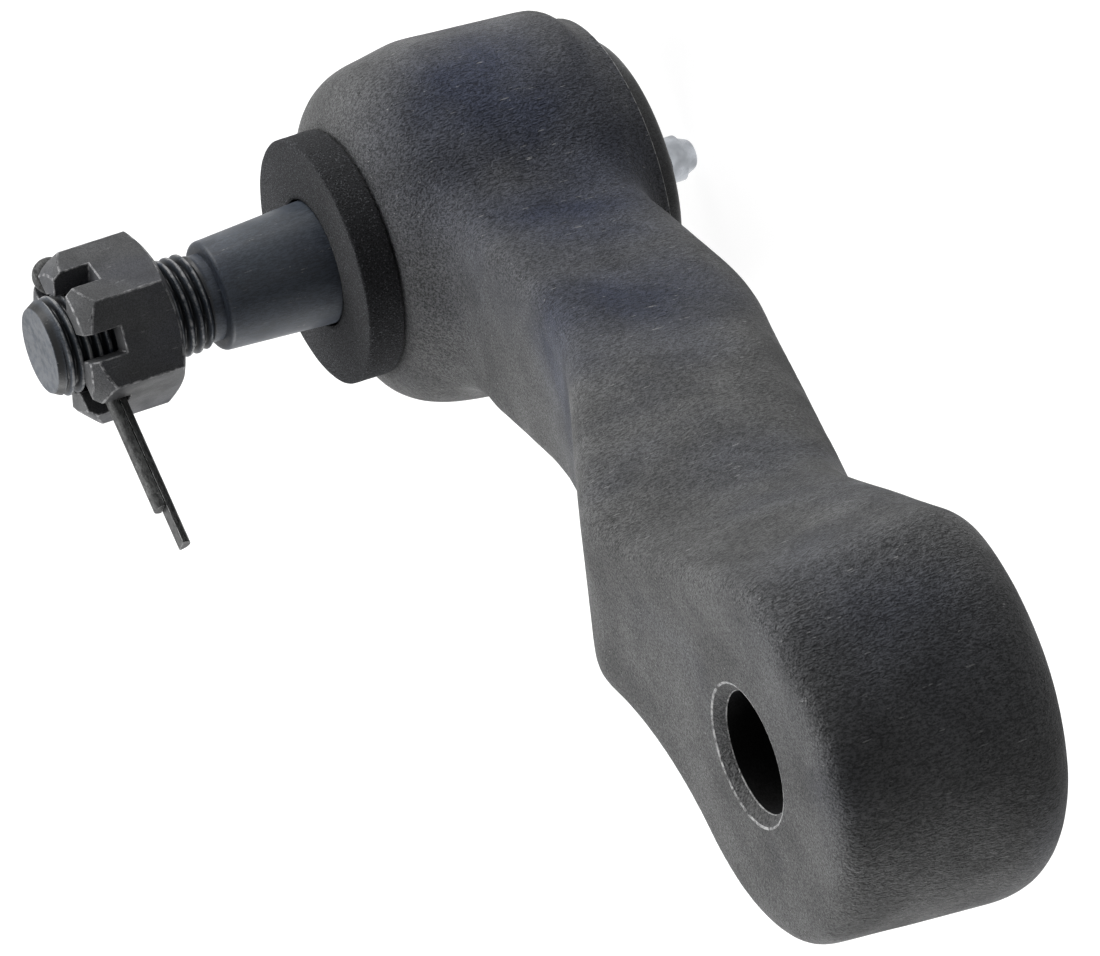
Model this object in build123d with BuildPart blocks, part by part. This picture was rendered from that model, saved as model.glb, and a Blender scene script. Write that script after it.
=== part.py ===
from build123d import *
import math
import os

os.makedirs("parts", exist_ok=True)

# Idler arm in its own frame, in millimetres. The origin is on the axis of the
# bracket bore, at its lower face. +Z runs up the bore, the way the stud points,
# and +X runs from the bore to the ball joint. The ball's centre has z = 0.

# Forged arm: bore end
arm_centres = 151.4
end_thickness = 33.5
end_radius = 27.6
bracket_bore_radius = 8.1
bore_chamfer = 1.45
lower_bore_chamfer = 0.9

# Room that cutting shapes pass beyond the solid
cut_margin = 5.0

# Forged arm: cranked web
parting_height = 8.5
neck_half_width = 14.0
neck_blend_radius = 36.0
shoulder_start = -2.4
end_shoulder_round = 12.0
flank_bend_reach = 35.0
flank_bend_width = 16.3
flank_reach = 85.0
upper_draft = 4.8
lower_draft = 4.0
end_face_reach = 44.5
ramp_angle = 23.9
web_top = 12.2
web_bottom = -17.5
underside_start = 30.0
underside_angle = 15.2
upper_bend_radius = 14.0
lower_bend_radius = 55.0
top_edge_radius = 3.0
bottom_edge_radius = 7.5

# Forged arm: ball joint housing
housing_radius = 25.9
housing_blend_inset = 2.0
housing_parting = 2.0
housing_lower_draft = 4.0
housing_upper_draft = 9.0
housing_top = 17.6
housing_top_radius = 9.0
socket_radius = 17.0
socket_top = 11.5
stud_opening_radius = 13.2
cover_recess_radius = 21.3
cover_recess_height = -18.9
rim_edge_radius = 22.0
rim_round_height = 3.6
rim_lip_thickness = 1.2
rim_lip_inner_radius = 19.8

# Ball joint inside the housing
ball_radius = 15.0
ball_clearance = 0.15
bearing_height = 9.4
bearing_base = 0.2
bearing_bore_clearance = 0.1
seat_base = -1.0
seat_opening_radius = 11.6
cap_clearance = 0.2
cap_rim_height = -4.0
cap_base = -16.5
cap_grease_hole_radius = 2.0
spring_wire_radius = 1.1
spring_coil_radius = 11.0
spring_turns = 2.0
spring_seat_gap = 0.1

# Cover and grease fitting
cover_thickness = 1.6
cover_dome_radius = 18.6
cover_dome_face = -25.4
cover_dome_round = 2.2
fitting_offset = 2.0
fitting_thread_radius = 3.0
fitting_hex_across = 7.0
fitting_hex_height = 3.0
fitting_neck_radius = 2.3
fitting_neck_height = 1.6
fitting_head_radius = 3.3
fitting_head_height = 3.4
fitting_crown_height = 2.2
fitting_crown_radius = 2.9
fitting_tip_radius = 2.0
fitting_ball_radius = 1.0
fitting_passage_radius = 1.25
fitting_orifice_radius = 0.7
check_wire_radius = 0.2
check_spring_turns = 4.0

# Ball stud
stud_neck_radius = 8.9
stud_head_radius = 14.5
stud_head_base = -9.0
taper_start = 22.0
taper_end = 39.3
taper_small_radius = 7.8
shoulder_round = 0.8
relief_length = 1.3
relief_radius = 6.2
thread_radius = 7.0
stud_tip = 64.6
tip_chamfer_length = 1.7
tip_chamfer_depth = 0.95
cotter_hole_radius = 1.6
cotter_height = 57.5

# Foam dust seal
seal_radius = 17.7
seal_front = 23.1
seal_gap = 0.1
seal_bore_clearance = 0.25
seal_edge_radius = 0.8

# Castle nut
nut_across_flats = 21.5
nut_base = 47.2
nut_height = 14.0
nut_thread_clearance = 0.02
nut_slot_width = 3.8
nut_slot_depth = 5.3
nut_face_angle = 18.9
nut_base_face_radius = 9.8
nut_base_chamfer_angle = 28.0
nut_top_face_radius = 9.9
nut_top_chamfer_angle = 46.0

# Cotter pin
pin_radius = 1.45
pin_split = 0.08
pin_angle = 138.9
pin_short_leg = 27.1
pin_long_leg = 33.0
pin_eye_radius = 1.3
pin_eye_gap = 0.15
pin_eye_overlap = 0.06

# Places that follow from the sizes above
stud_line = Axis((arm_centres, 0, 0), (0, 0, 1))
stud_section = Plane((arm_centres, 0, 0), x_dir=(1, 0, 0), z_dir=(0, -1, 0))
ball_cavity_radius = ball_radius + ball_clearance
rim_base = cover_recess_height - cover_thickness - rim_lip_thickness
hex_corner = nut_across_flats / 2 / math.cos(math.radians(30))
head_flat_radius = math.sqrt(ball_radius**2 - stud_head_base**2)
nut_direction = Vector(1, 0, 0).rotate(Axis.Z, nut_face_angle)
pin_direction = Vector(1, 0, 0).rotate(Axis.Z, pin_angle)
pin_plane = Plane((arm_centres, 0, cotter_height), x_dir=pin_direction, z_dir=(0, 0, 1))


# Arm forging: drafted plan, cut to the cranked side profile
ramp_slope = math.tan(math.radians(ramp_angle))
ramp_foot = end_face_reach + (end_thickness - web_top) / ramp_slope
underside_slope = math.tan(math.radians(underside_angle))
underside_end = underside_start - web_bottom / underside_slope
shoulder_width = math.sqrt(end_radius**2 - shoulder_start**2)
upper_slope = math.tan(math.radians(housing_upper_draft))
lower_slope = math.tan(math.radians(housing_lower_draft))
housing_top_edge = housing_radius - (housing_top - housing_parting) * upper_slope
rim_round_top = rim_base + rim_round_height
rim_round_radius = housing_radius - (housing_parting - rim_round_top) * lower_slope


def crosses_outline(edge):
    """True for an edge where a drafted flank meets the cranked top or underside."""
    start, middle, end = edge @ 0, edge @ 0.5, edge @ 1
    straight_across = abs(start.X - middle.X) < 0.01 and abs(middle.X - end.X) < 0.01
    on_parting = abs(start.Z - parting_height) < 0.01 and abs(end.Z - parting_height) < 0.01
    down_flank = abs((edge % 0.5).Z) > 0.7
    return not (straight_across or on_parting or down_flank)


with BuildPart() as arm_forging:
    with BuildSketch(Plane.XY.offset(parting_height)) as plan:
        Circle(end_radius)
        Polygon(
            (shoulder_start, -shoulder_width),
            (shoulder_start, -2 * end_radius),
            (flank_bend_reach, -2 * end_radius),
            (flank_bend_reach, -flank_bend_width),
            align=None,
            mode=Mode.SUBTRACT,
        )
        Polygon(
            (shoulder_start, neck_half_width),
            (shoulder_start, -shoulder_width),
            (flank_bend_reach, -flank_bend_width),
            (flank_reach, -neck_half_width),
            (arm_centres, -neck_half_width),
            (arm_centres, neck_half_width),
            align=None,
        )
        with Locations((arm_centres, 0)):
            Circle(housing_radius - housing_blend_inset)
        outline = plan.vertices().filter_by(lambda v: abs(v.Y) > neck_half_width / 2)
        fillet(outline.filter_by(lambda v: v.X > end_radius / 2), neck_blend_radius)
        outline = plan.vertices().filter_by(lambda v: abs(v.X - shoulder_start) < 0.1)
        fillet(outline.filter_by(lambda v: v.Y < 0), end_shoulder_round)
    extrude(plan.sketch, amount=end_thickness - parting_height + cut_margin, taper=upper_draft)
    extrude(plan.sketch, amount=web_bottom - parting_height - cut_margin, taper=lower_draft)
    with BuildSketch(Plane.XZ) as side:
        with BuildLine():
            Polyline(
                (-end_radius - cut_margin, 0),
                (-end_radius - cut_margin, end_thickness),
                (end_face_reach, end_thickness),
                (ramp_foot, web_top),
                (arm_centres + housing_radius + cut_margin, web_top),
                (arm_centres + housing_radius + cut_margin, web_bottom),
                (underside_end, web_bottom),
                (underside_start, 0),
                close=True,
            )
        make_face()
        bends = side.vertices().filter_by(lambda v: 0 < v.X < arm_centres).sort_by(Axis.X)
        fillet(bends[0:2], upper_bend_radius)
        bends = side.vertices().filter_by(lambda v: v.X > ramp_foot - 5)
        fillet(bends.filter_by(lambda v: v.X < arm_centres), lower_bend_radius)
    extrude(side.sketch, amount=2 * end_radius, both=True, mode=Mode.INTERSECT)

    # Rounded corners along the upper and the lower outline
    rims = arm_forging.edges().filter_by(crosses_outline)
    fillet(rims.filter_by(lambda e: (e @ 0.5).Z > parting_height + 1), top_edge_radius)
    rims = arm_forging.edges().filter_by(crosses_outline)
    fillet(rims.filter_by(lambda e: (e @ 0.5).Z < parting_height - 1), bottom_edge_radius)

    # Housing of the ball joint, turned on the stud's axis
    with BuildSketch(stud_section) as housing_profile:
        with BuildLine():
            edge_line = Polyline(
                (rim_edge_radius, rim_base),
                (0, rim_base),
                (0, housing_top),
                (housing_top_edge, housing_top),
                (housing_radius, housing_parting),
                (rim_round_radius, rim_round_top),
            )
            RadiusArc(edge_line @ 1, edge_line @ 0, -rim_round_height * 1.2)
        make_face()
        corner = housing_profile.vertices().filter_by(
            lambda v: v.X > 1 and abs(v.Y - housing_top) < 0.01
        )
        fillet(corner, housing_top_radius)
    revolve(housing_profile.sketch, axis=stud_line)

    # Socket for the ball joint, open below for the cover and above for the stud
    with BuildSketch(stud_section) as socket_profile:
        with BuildLine():
            Polyline(
                (0, rim_base - 1),
                (rim_lip_inner_radius, rim_base - 1),
                (rim_lip_inner_radius, rim_base + rim_lip_thickness),
                (cover_recess_radius, rim_base + rim_lip_thickness),
                (cover_recess_radius, cover_recess_height),
                (socket_radius, cover_recess_height),
                (socket_radius, socket_top),
                (stud_opening_radius, socket_top),
                (stud_opening_radius, housing_top + 1),
                (0, housing_top + 1),
                close=True,
            )
        make_face()
    revolve(socket_profile.sketch, axis=stud_line, mode=Mode.SUBTRACT)

    # Bracket bore with a chamfer at each mouth
    with BuildSketch(Plane.XZ) as bore_profile:
        with BuildLine():
            Polyline(
                (0, 0),
                (bracket_bore_radius + lower_bore_chamfer, 0),
                (bracket_bore_radius, lower_bore_chamfer),
                (bracket_bore_radius, end_thickness - bore_chamfer),
                (bracket_bore_radius + bore_chamfer, end_thickness),
                (0, end_thickness),
                close=True,
            )
        make_face()
    revolve(bore_profile.sketch, axis=Axis.Z, mode=Mode.SUBTRACT)
arm_forging.part.label = "arm_forging"
export_step(arm_forging.part, "parts/arm_forging.step")


# Ball seat, pressed up into the socket
with BuildPart() as ball_seat:
    with BuildSketch(stud_section) as seat_profile:
        with Locations((0, (seat_base + socket_top) / 2)):
            Rectangle(2 * socket_radius, socket_top - seat_base)
        Circle(ball_cavity_radius, mode=Mode.SUBTRACT)
        with Locations((0, socket_top / 2)):
            Rectangle(2 * seat_opening_radius, socket_top + 2, mode=Mode.SUBTRACT)
        with Locations((-socket_radius, 0)):
            Rectangle(2 * socket_radius, 4 * socket_radius, mode=Mode.SUBTRACT)
    revolve(seat_profile.sketch, axis=stud_line)
ball_seat.part.label = "ball_seat"
export_step(ball_seat.part, "parts/ball_seat.step")


# Half-ball bearing around the stud's neck
bearing_bore_radius = stud_neck_radius + bearing_bore_clearance
with BuildPart() as half_ball_bearing:
    with BuildSketch(stud_section) as bearing_profile:
        Circle(ball_radius)
        with Locations((ball_radius + bearing_bore_radius, (bearing_height + bearing_base) / 2)):
            Rectangle(2 * ball_radius, bearing_height - bearing_base, mode=Mode.INTERSECT)
    revolve(bearing_profile.sketch, axis=stud_line)
half_ball_bearing.part.label = "half_ball_bearing"
export_step(half_ball_bearing.part, "parts/half_ball_bearing.step")


# Ball stud: head, neck, taper, threaded end and cotter hole
with BuildPart() as ball_stud:
    with BuildSketch(stud_section) as stud_profile:
        with BuildLine():
            Polyline(
                (0, -ball_radius),
                (stud_head_radius, -ball_radius),
                (stud_head_radius, bearing_base / 2),
                (stud_neck_radius, bearing_base / 2),
                (stud_neck_radius, taper_start),
                (taper_small_radius, taper_end),
                (relief_radius, taper_end),
                (relief_radius, taper_end + relief_length),
                (thread_radius, taper_end + relief_length),
                (thread_radius, stud_tip - tip_chamfer_length),
                (thread_radius - tip_chamfer_depth, stud_tip),
                (0, stud_tip),
                close=True,
            )
        make_face()
        shoulder = stud_profile.vertices().filter_by(
            lambda v: abs(v.Y - taper_end) < 0.01 and v.X > relief_radius + 0.1
        )
        fillet(shoulder, shoulder_round)
    revolve(stud_profile.sketch, axis=stud_line)
    # Domed underside of the head, centred on the ball
    with BuildSketch(stud_section) as head_profile:
        with BuildLine():
            Line((0, stud_tip + 1), (0, stud_head_base))
            Line((0, stud_head_base), (head_flat_radius, stud_head_base))
            head_dome = RadiusArc(
                (head_flat_radius, stud_head_base), (ball_radius, 0), ball_radius
            )
            Line((ball_radius, 0), (ball_radius, stud_tip + 1))
            Line((ball_radius, stud_tip + 1), (0, stud_tip + 1))
        make_face()
    revolve(head_profile.sketch, axis=stud_line, mode=Mode.INTERSECT)
    # Cross hole for the cotter pin
    with Locations(pin_plane):
        Cylinder(
            cotter_hole_radius,
            4 * thread_radius,
            rotation=(0, 90, 0),
            mode=Mode.SUBTRACT,
        )
ball_stud.part.label = "ball_stud"
export_step(ball_stud.part, "parts/ball_stud.step")


# Pressure cap below the stud's head
with BuildPart() as pressure_cap:
    with BuildSketch(stud_section) as cap_profile:
        with BuildLine():
            Polyline(
                (cap_grease_hole_radius, cap_base),
                (socket_radius - cap_clearance, cap_base),
                (socket_radius - cap_clearance, cap_rim_height),
                (cap_grease_hole_radius, cap_rim_height),
                close=True,
            )
        make_face()
        Circle(ball_cavity_radius, mode=Mode.SUBTRACT)
    revolve(cap_profile.sketch, axis=stud_line)
pressure_cap.part.label = "pressure_cap"
export_step(pressure_cap.part, "parts/pressure_cap.step")


# Preload spring between the cap and the cover
spring_floor = cover_dome_face + cover_thickness
spring_room = cap_base - spring_floor - 2 * spring_seat_gap - 2 * spring_wire_radius
with BuildPart() as preload_spring:
    with BuildLine() as spring_path:
        Helix(
            pitch=spring_room / spring_turns,
            height=spring_room,
            radius=spring_coil_radius,
            center=(arm_centres, 0, spring_floor + spring_seat_gap + spring_wire_radius),
        )
    with BuildSketch(Plane(spring_path.line @ 0, z_dir=spring_path.line % 0)) as spring_wire:
        Circle(spring_wire_radius)
    sweep(spring_wire.sketch, path=spring_path.line, is_frenet=True)
preload_spring.part.label = "preload_spring"
export_step(preload_spring.part, "parts/preload_spring.step")


# Cover plate, held in the rolled rim, with a dome and a tapped hole
cover_flange_base = cover_recess_height - cover_thickness
with BuildPart() as cover_plate:
    with BuildSketch(stud_section) as cover_profile:
        with BuildLine():
            Polyline(
                (0, cover_dome_face),
                (cover_dome_radius, cover_dome_face),
                (cover_dome_radius, cover_flange_base),
                (cover_recess_radius, cover_flange_base),
                (cover_recess_radius, cover_recess_height),
                (cover_dome_radius - cover_thickness, cover_recess_height),
                (cover_dome_radius - cover_thickness, cover_dome_face + cover_thickness),
                (0, cover_dome_face + cover_thickness),
                close=True,
            )
        make_face()
        outer = cover_profile.vertices().filter_by(
            lambda v: abs(v.X - cover_dome_radius) < 0.01
        )
        fillet(outer.sort_by(Axis.Y)[0], cover_dome_round)
        inner = cover_profile.vertices().filter_by(
            lambda v: abs(v.X - cover_dome_radius + cover_thickness) < 0.01
        )
        fillet(inner.sort_by(Axis.Y)[0], cover_dome_round - cover_thickness)
    revolve(cover_profile.sketch, axis=stud_line)
    with Locations((arm_centres, fitting_offset, cover_dome_face)):
        Cylinder(fitting_thread_radius, 4 * cover_thickness, mode=Mode.SUBTRACT)
cover_plate.part.label = "cover_plate"
export_step(cover_plate.part, "parts/cover_plate.step")


# Grease fitting, screwed into the cover from below
fitting_plane = Plane(
    (arm_centres, fitting_offset, cover_dome_face), x_dir=(1, 0, 0), z_dir=(0, 0, -1)
)
fitting_section = Plane(fitting_plane.origin, x_dir=(1, 0, 0), z_dir=(0, 1, 0))
fitting_line = Axis(fitting_plane.origin, (0, 0, 1))
neck_end = fitting_hex_height + fitting_neck_height
head_end = neck_end + fitting_head_height
fitting_tip = head_end + fitting_crown_height
with BuildPart() as grease_fitting_body:
    with BuildSketch(fitting_section) as fitting_profile:
        with BuildLine():
            Polyline(
                (0, -cover_thickness),
                (fitting_thread_radius, -cover_thickness),
                (fitting_thread_radius, 0),
                (fitting_neck_radius, 0),
                (fitting_neck_radius, neck_end),
                (fitting_head_radius, neck_end + fitting_head_radius - fitting_neck_radius),
                (fitting_head_radius, head_end),
                (fitting_crown_radius, head_end),
                (fitting_tip_radius, fitting_tip),
                (0, fitting_tip),
                close=True,
            )
        make_face()
        tip_corner = fitting_profile.vertices().sort_by(Axis.Y)[-2:].sort_by(Axis.X)[-1]
        fillet(tip_corner, fitting_tip_radius / 2)
    revolve(fitting_profile.sketch, axis=fitting_line)
    with BuildSketch(fitting_plane) as fitting_hex:
        RegularPolygon(fitting_hex_across / 2, 6, major_radius=False)
    extrude(fitting_hex.sketch, amount=fitting_hex_height)
    with BuildSketch(fitting_section) as passage_profile:
        with BuildLine():
            Polyline(
                (0, -cover_thickness - 1),
                (fitting_orifice_radius, -cover_thickness - 1),
                (fitting_orifice_radius, 0),
                (fitting_passage_radius, 0),
                (fitting_passage_radius, fitting_tip - 2 * fitting_ball_radius),
                (fitting_orifice_radius, fitting_tip - fitting_ball_radius),
                (fitting_orifice_radius, fitting_tip + 1),
                (0, fitting_tip + 1),
                close=True,
            )
        make_face()
    revolve(passage_profile.sketch, axis=fitting_line, mode=Mode.SUBTRACT)
grease_fitting_body.part.label = "grease_fitting_body"
export_step(grease_fitting_body.part, "parts/grease_fitting_body.step")


# Check ball inside the fitting
ball_depth = fitting_tip - 2 * fitting_ball_radius - 0.1
with BuildPart() as grease_fitting_ball:
    with Locations(fitting_plane.offset(ball_depth)):
        Sphere(fitting_ball_radius)
grease_fitting_ball.part.label = "grease_fitting_ball"
export_step(grease_fitting_ball.part, "parts/grease_fitting_ball.step")


# Check spring behind the ball
check_spring_room = ball_depth - fitting_ball_radius - 2 * check_wire_radius - 0.1
with BuildPart() as grease_fitting_spring:
    with BuildLine() as check_path:
        Helix(
            pitch=check_spring_room / check_spring_turns,
            height=check_spring_room,
            radius=fitting_passage_radius - check_wire_radius - 0.1,
            center=fitting_plane.offset(check_wire_radius + 0.05).origin,
            direction=(0, 0, -1),
        )
    with BuildSketch(Plane(check_path.line @ 0, z_dir=check_path.line % 0)) as check_wire:
        Circle(check_wire_radius)
    sweep(check_wire.sketch, path=check_path.line, is_frenet=True)
grease_fitting_spring.part.label = "grease_fitting_spring"
export_step(grease_fitting_spring.part, "parts/grease_fitting_spring.step")


# Foam dust seal around the stud, against the housing
with BuildPart() as dust_seal:
    with BuildSketch(stud_section) as seal_profile:
        with BuildLine():
            Polyline(
                (stud_neck_radius + seal_bore_clearance, housing_top + seal_gap),
                (seal_radius, housing_top + seal_gap),
                (seal_radius, seal_front),
                (stud_neck_radius + seal_bore_clearance, seal_front),
                close=True,
            )
        make_face()
        rims = seal_profile.vertices().filter_by(lambda v: v.X > seal_radius - 0.1)
        fillet(rims, seal_edge_radius)
    revolve(seal_profile.sketch, axis=stud_line)
dust_seal.part.label = "dust_seal"
export_step(dust_seal.part, "parts/dust_seal.step")


# Castle nut: chamfered hexagon, threaded bore and six slots
nut_plane = Plane((arm_centres, 0, nut_base), x_dir=nut_direction, z_dir=(0, 0, 1))
base_drop = (hex_corner - nut_base_face_radius) * math.tan(math.radians(nut_base_chamfer_angle))
top_drop = (hex_corner - nut_top_face_radius) * math.tan(math.radians(nut_top_chamfer_angle))
with BuildPart() as castle_nut:
    with BuildSketch(nut_plane) as hexagon:
        RegularPolygon(nut_across_flats / 2, 6, major_radius=False, rotation=30)
        Circle(thread_radius + nut_thread_clearance, mode=Mode.SUBTRACT)
    extrude(hexagon.sketch, amount=nut_height)
    with BuildSketch(stud_section) as nut_turned:
        with BuildLine():
            Polyline(
                (0, nut_base),
                (nut_base_face_radius, nut_base),
                (hex_corner, nut_base + base_drop),
                (hex_corner, nut_base + nut_height - top_drop),
                (nut_top_face_radius, nut_base + nut_height),
                (0, nut_base + nut_height),
                close=True,
            )
        make_face()
    revolve(nut_turned.sketch, axis=stud_line, mode=Mode.INTERSECT)
    with Locations(nut_plane.offset(nut_height - nut_slot_depth / 2)):
        with PolarLocations(0, 3, angular_range=180):
            Box(3 * hex_corner, nut_slot_width, nut_slot_depth, mode=Mode.SUBTRACT)
castle_nut.part.label = "castle_nut"
export_step(castle_nut.part, "parts/castle_nut.step")


# Cotter pin: two half-round legs joined by the eye
eye_middle = -(thread_radius + pin_eye_gap + pin_eye_radius + pin_radius)
eye_centre = pin_plane.origin + pin_direction * eye_middle + Vector(0, 0, pin_eye_radius - pin_split)
eye_line = Axis(eye_centre, pin_direction.rotate(Axis.Z, 90))
with BuildPart() as cotter_pin:
    with BuildSketch(Plane(pin_plane.origin, x_dir=(0, 0, 1), z_dir=pin_direction)) as leg_section:
        Circle(pin_radius)
        Rectangle(2 * pin_split, 2 * pin_radius, mode=Mode.SUBTRACT)
    lower_half, upper_half = leg_section.sketch.faces().sort_by(Axis.Z)
    extrude(upper_half, amount=pin_short_leg)
    extrude(upper_half, amount=eye_middle + pin_eye_radius)
    extrude(lower_half, amount=pin_long_leg)
    extrude(lower_half, amount=eye_middle)
    with BuildSketch(Plane(eye_centre, x_dir=pin_direction, z_dir=(0, 0, 1))) as eye_section:
        with Locations((pin_eye_radius, 0)):
            Circle(pin_radius)
        with Locations((pin_eye_radius - pin_radius - pin_eye_overlap, 0)):
            Rectangle(2 * pin_radius, 2 * pin_radius, mode=Mode.SUBTRACT)
    revolve(eye_section.sketch, axis=eye_line)
cotter_pin.part.label = "cotter_pin"
export_step(cotter_pin.part, "parts/cotter_pin.step")
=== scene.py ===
"""Looks for the idler arm: forged steel arm, ball stud, castle nut, cotter pin,
foam dust seal, pressed cover and grease fitting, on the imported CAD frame."""

import math

import bmesh
import bpy
import numpy as np
from mathutils import Matrix, Vector, noise


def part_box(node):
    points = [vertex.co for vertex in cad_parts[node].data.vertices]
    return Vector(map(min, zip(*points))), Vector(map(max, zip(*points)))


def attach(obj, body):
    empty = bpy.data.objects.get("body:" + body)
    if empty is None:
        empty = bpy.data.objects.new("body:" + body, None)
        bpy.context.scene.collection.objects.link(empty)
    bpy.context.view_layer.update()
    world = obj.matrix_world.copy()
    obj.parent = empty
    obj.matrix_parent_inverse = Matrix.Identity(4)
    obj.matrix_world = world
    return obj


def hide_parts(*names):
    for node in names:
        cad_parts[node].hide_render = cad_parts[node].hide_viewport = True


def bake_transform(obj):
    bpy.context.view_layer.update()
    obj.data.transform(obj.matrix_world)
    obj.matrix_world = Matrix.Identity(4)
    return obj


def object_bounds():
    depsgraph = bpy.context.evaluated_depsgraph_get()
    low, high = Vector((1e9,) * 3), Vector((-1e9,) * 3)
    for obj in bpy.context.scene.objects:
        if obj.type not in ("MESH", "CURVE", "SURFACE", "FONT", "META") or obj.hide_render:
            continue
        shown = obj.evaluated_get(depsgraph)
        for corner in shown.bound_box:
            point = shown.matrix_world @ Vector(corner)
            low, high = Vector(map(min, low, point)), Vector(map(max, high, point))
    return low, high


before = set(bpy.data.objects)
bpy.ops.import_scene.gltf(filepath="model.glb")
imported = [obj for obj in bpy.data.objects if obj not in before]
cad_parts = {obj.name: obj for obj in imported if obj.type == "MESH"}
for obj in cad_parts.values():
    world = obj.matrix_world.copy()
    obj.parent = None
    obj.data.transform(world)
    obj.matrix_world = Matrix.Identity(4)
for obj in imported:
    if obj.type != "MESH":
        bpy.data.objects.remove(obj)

CAD_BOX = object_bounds()
MM = 0.001
STUD_LOW, STUD_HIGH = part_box("ball_stud")
JOINT_X = STUD_LOW.x + (STUD_HIGH.x - STUD_LOW.x) / 2
THREAD_CREST = 7.0 * MM

# Where the smoothed skin of the forging gives way to the crisp CAD surface: a height at
# the rolled rim, and radii about the stud and about the bracket bore.
RIM_CUT = -20.6 * MM
HOUSING_CUT = 17.75 * MM
BORE_CUT = 11.5 * MM

bl_info = {
    "name": "Idler Arm Looks",
    "version": (1, 0, 0),
    "blender": (4, 5, 0),
    "location": "3D View > Sidebar > Idler Arm",
    "description": "Builds the visible pieces and finishes of a forged idler arm",
    "category": "Object",
}


# Settings

class ForgingSettings(bpy.types.PropertyGroup):
    voxel: bpy.props.FloatProperty(
        name="Skin Resolution", description="Edge length of the forged skin's mesh",
        default=0.72 * MM, unit="LENGTH", precision=5,
    )
    blend_passes: bpy.props.IntProperty(
        name="Blend Passes", description="Smoothing passes where the web meets the housing",
        default=70, min=0,
    )
    skin_passes: bpy.props.IntProperty(
        name="Skin Passes", description="Smoothing passes over the rest of the skin",
        default=9, min=0,
    )
    edge: bpy.props.FloatProperty(
        name="Edge Break", description="Width of the broken edges at the bore and the rim",
        default=0.19 * MM, unit="LENGTH", precision=5,
    )
    waviness: bpy.props.FloatProperty(
        name="Waviness", description="Depth of the hammered waves left by forging",
        default=0.10 * MM, unit="LENGTH", precision=5,
    )
    steel: bpy.props.FloatVectorProperty(
        name="Scale Colour", description="Colour of the black forging scale",
        default=(0.086, 0.0865, 0.087), subtype="COLOR", size=3, min=0, max=1,
    )
    tint: bpy.props.FloatVectorProperty(
        name="Temper Tint", description="Blue sheen where the scale is thin",
        default=(0.037, 0.0425, 0.064), subtype="COLOR", size=3, min=0, max=1,
    )


class StudSettings(bpy.types.PropertyGroup):
    pitch: bpy.props.FloatProperty(
        name="Thread Pitch", description="Distance between neighbouring thread crests",
        default=1.5 * MM, unit="LENGTH", precision=5,
    )
    depth: bpy.props.FloatProperty(
        name="Thread Depth", description="Depth of the thread below its crests",
        default=0.86 * MM, unit="LENGTH", precision=5,
    )
    thread_start: bpy.props.FloatProperty(
        name="Thread Start", description="Height where the thread begins above the undercut",
        default=40.6 * MM, unit="LENGTH", precision=5,
    )
    steel: bpy.props.FloatVectorProperty(
        name="Stud Steel", description="Colour of the heat-treated stud",
        default=(0.034, 0.041, 0.052), subtype="COLOR", size=3, min=0, max=1,
    )


class HardwareSettings(bpy.types.PropertyGroup):
    edge: bpy.props.FloatProperty(
        name="Edge Break",
        description="Width of the broken edges on the turned and milled parts",
        default=0.22 * MM, unit="LENGTH", precision=5,
    )
    nut_steel: bpy.props.FloatVectorProperty(
        name="Nut Steel", description="Colour of the blackened castle nut",
        default=(0.060, 0.061, 0.063), subtype="COLOR", size=3, min=0, max=1,
    )
    zinc: bpy.props.FloatVectorProperty(
        name="Zinc Plate", description="Colour of the plated grease fitting",
        default=(0.40, 0.42, 0.45), subtype="COLOR", size=3, min=0, max=1,
    )


class SealSettings(bpy.types.PropertyGroup):
    foam: bpy.props.FloatVectorProperty(
        name="Foam Colour", description="Colour of the dust seal's foam",
        default=(0.017, 0.0175, 0.019), subtype="COLOR", size=3, min=0, max=1,
    )
    cell: bpy.props.FloatProperty(
        name="Cell Depth", description="Depth of the foam's surface unevenness",
        default=0.07 * MM, unit="LENGTH", precision=5,
    )
    relief: bpy.props.FloatProperty(
        name="Hole Relief", description="How much the hole widens towards the housing",
        default=3.4 * MM, unit="LENGTH", precision=5,
    )


class StageSettings(bpy.types.PropertyGroup):
    focal: bpy.props.FloatProperty(
        name="Focal Length", description="Camera focal length in millimetres",
        default=294.545, min=1,
    )
    ambient: bpy.props.FloatProperty(
        name="Room Light", description="Strength of the even light of the room",
        default=0.15, min=0,
    )
    key: bpy.props.FloatProperty(
        name="Softbox Power", description="Power of the softbox above the part",
        default=8.0, min=0, unit="POWER",
    )
    side: bpy.props.FloatProperty(
        name="Side Power", description="Power of the softboxes on both sides of the part",
        default=6.8, min=0, unit="POWER",
    )


# Mesh helpers

def mesh_of(bm, name):
    """Turns a bmesh into a mesh and frees it."""
    mesh = bpy.data.meshes.new(name)
    bm.to_mesh(mesh)
    bm.free()
    return mesh


def bmesh_of(*meshes):
    bm = bmesh.new()
    for mesh in meshes:
        bm.from_mesh(mesh)
    return bm


def node_mesh(name):
    """A bmesh copy of a CAD node in the part's frame, with its doubled points joined."""
    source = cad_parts[name]
    bm = bmesh_of(source.data)
    bm.transform(source.matrix_world)
    bmesh.ops.remove_doubles(bm, verts=bm.verts, dist=2e-6)
    return bm


def new_piece(name, bm, material, body, replaces):
    """Adds a finished piece, which rides on a body unless body is None."""
    mesh = mesh_of(bm, name)
    piece = bpy.data.objects.new(name, mesh)
    bpy.context.scene.collection.objects.link(piece)
    mesh.materials.append(material)
    if body:
        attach(piece, body)
    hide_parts(*replaces)
    return piece


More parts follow.
